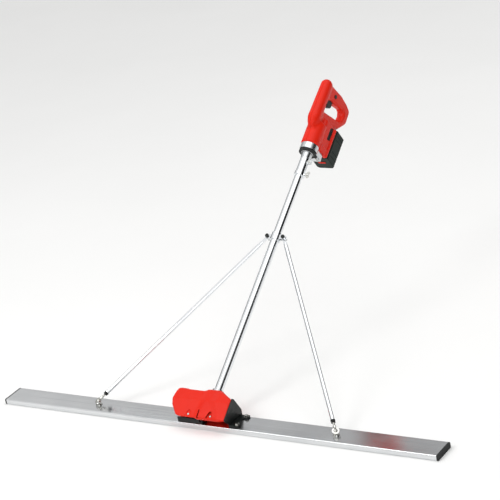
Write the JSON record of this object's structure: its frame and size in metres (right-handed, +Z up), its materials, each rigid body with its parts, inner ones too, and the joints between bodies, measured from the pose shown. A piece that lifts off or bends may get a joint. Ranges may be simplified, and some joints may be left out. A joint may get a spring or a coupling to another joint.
{
  "type": "battery power screed",
  "caption": "Vibrating concrete screed: long hollow blade with an exciter on top, leaning braced pole, and a battery power head with a D-handle.",
  "frame": {"origin": "middle of the blade's sole, at the crossing of its two centre lines", "axes": "+X along the blade, +Y back towards the operator, +Z up from the sole"},
  "size_m": [1.83, 1.289, 0.8948],
  "materials": {
    "blade_alloy": "brushed and polished",
    "black_rubber": "matte",
    "black_steel": "satin powder coat",
    "bright_steel": "zinc plated",
    "gear_steel": "ground",
    "chrome_tube": "polished",
    "cast_alloy": "cast and bead blasted",
    "red_plastic": "satin moulded",
    "black_plastic": "fine textured",
    "battery_plastic": "fine textured",
    "nylon": "machined",
    "copper_stator": "wound",
    "cell_can": "wrapped",
    "board": "lacquered"
  },
  "bodies": {
    "blade": {"blade_board": "blade_alloy", "blade_plug_left": "black_rubber", "blade_plug_right": "black_rubber", "right_bracket": "black_steel", "left_bracket": "black_steel", "bracket_bolts": "bright_steel", "bracket_screws": "black_steel", "exciter_casting": "cast_alloy", "exciter_end_cap": "cast_alloy", "exciter_bearings": "gear_steel", "input_bearing": "gear_steel", "cover_front": "red_plastic", "cover_rear": "red_plastic", "cover_screws": "bright_steel", "pole_tube": "chrome_tube", "shaft_bushes": "nylon", "strut_collar_front": "chrome_tube", "strut_collar_rear": "chrome_tube", "collar_bolts": "black_steel", "strut_tab_left": "chrome_tube", "strut_tab_right": "chrome_tube", "strut_rod_left": "bright_steel", "strut_rod_right": "bright_steel", "lock_nuts": "black_steel", "foot_ball_left": "bright_steel", "foot_ball_right": "bright_steel", "foot_bolts": "bright_steel"},
    "exciter_rotor": {"exciter_shaft": "gear_steel", "weight_left": "gear_steel", "weight_right": "gear_steel", "driven_bevel": "gear_steel"},
    "drive_line": {"pinion_bevel": "gear_steel", "drive_shaft": "gear_steel"},
    "turnbuckle_left": {"strut_tube_left": "chrome_tube"},
    "turnbuckle_right": {"strut_tube_right": "chrome_tube"},
    "power_head": {"pole_sleeve": "chrome_tube", "sleeve_ring": "chrome_tube", "sleeve_bolt": "bright_steel", "gearcase_nose": "cast_alloy", "gearcase_gasket": "black_rubber", "gearcase_body": "cast_alloy", "gearcase_screws": "bright_steel", "spindle_bearing": "gear_steel", "motor_stator": "copper_stator", "head_shell_left": "red_plastic", "head_shell_right": "red_plastic", "head_screws": "bright_steel", "vent_grilles": "black_plastic", "trigger_spring": "bright_steel", "switch_body": "black_plastic", "control_board": "board"},
    "clamp_screw": {"thumb_screw": "bright_steel"},
    "output_spindle": {"spindle": "gear_steel"},
    "idler": {"idler_gear": "gear_steel"},
    "rotor": {"motor_rotor": "gear_steel", "motor_fan": "black_plastic"},
    "trigger_lever": {"trigger": "black_plastic"},
    "lock_pin": {"lock_button": "black_plastic"},
    "battery": {"battery_case": "battery_plastic", "battery_cells": "cell_can"},
    "latch": {"battery_latch": "red_plastic"}
  },
  "joints": [
    {"name": "head_pull_off", "type": "slide", "parent": "blade", "child": "power_head", "axis": [0, 0.8241, 0.5664], "range_m": [0, 0.08]},
    {"name": "motor_spin", "type": "hinge", "parent": "power_head", "child": "rotor", "pos_m": [0, 1.0001, 0.68379], "axis": [0, 0.8241, 0.5664], "continuous": true},
    {"name": "idler_spin", "type": "hinge", "parent": "power_head", "child": "idler", "pos_m": [0, 0.92769, 0.66556], "axis": [0, 0.8241, 0.5664], "continuous": true},
    {"name": "spindle_spin", "type": "hinge", "parent": "power_head", "child": "output_spindle", "pos_m": [0, 0.89875, 0.67237], "axis": [0, 0.8241, 0.5664], "continuous": true},
    {"name": "drive_shaft_spin", "type": "hinge", "parent": "blade", "child": "drive_line", "pos_m": [0, 0.44548, 0.36084], "axis": [0, 0.8241, 0.5664], "continuous": true},
    {"name": "exciter_spin", "type": "hinge", "parent": "blade", "child": "exciter_rotor", "pos_m": [0, 0.00869, 0.06065], "axis": [1, 0, 0], "continuous": true},
    {"name": "left_strut_turn", "type": "hinge", "parent": "blade", "child": "turnbuckle_left", "pos_m": [-0.2695, 0.29914, 0.24975], "axis": [0.5405, 0.6819, 0.4928], "range_deg": [-180, 180]},
    {"name": "right_strut_turn", "type": "hinge", "parent": "blade", "child": "turnbuckle_right", "pos_m": [0.2695, 0.29914, 0.24975], "axis": [-0.5405, 0.6819, 0.4928], "range_deg": [-180, 180]},
    {"name": "thumb_screw_turn", "type": "hinge", "parent": "power_head", "child": "clamp_screw", "pos_m": [0.03, 0.8254, 0.62196], "axis": [1, 0, 0], "range_deg": [0, 720]},
    {"name": "trigger_squeeze", "type": "slide", "parent": "power_head", "child": "trigger_lever", "axis": [0, 0.8241, 0.5664], "range_m": [0, 0.006], "stiffness_N_per_m": 900},
    {"name": "lock_press", "type": "slide", "parent": "power_head", "child": "lock_pin", "axis": [-1, 0, 0], "range_m": [0, 0.003], "stiffness_N_per_m": 500},
    {"name": "battery_slide", "type": "slide", "parent": "power_head", "child": "battery", "axis": [0, -0.8241, -0.5664], "range_m": [0, 0.125]},
    {"name": "latch_press", "type": "slide", "parent": "battery", "child": "latch", "axis": [0, 0.8241, 0.5664], "range_m": [0, 0.003], "stiffness_N_per_m": 500}
  ],
  "couplings": [
    {"joint": "idler_spin", "follows": "motor_spin", "ratio": -0.44444},
    {"joint": "spindle_spin", "follows": "motor_spin", "ratio": 0.25397},
    {"joint": "drive_shaft_spin", "follows": "motor_spin", "ratio": 0.25397},
    {"joint": "exciter_spin", "follows": "motor_spin", "ratio": -0.25397}
  ]
}
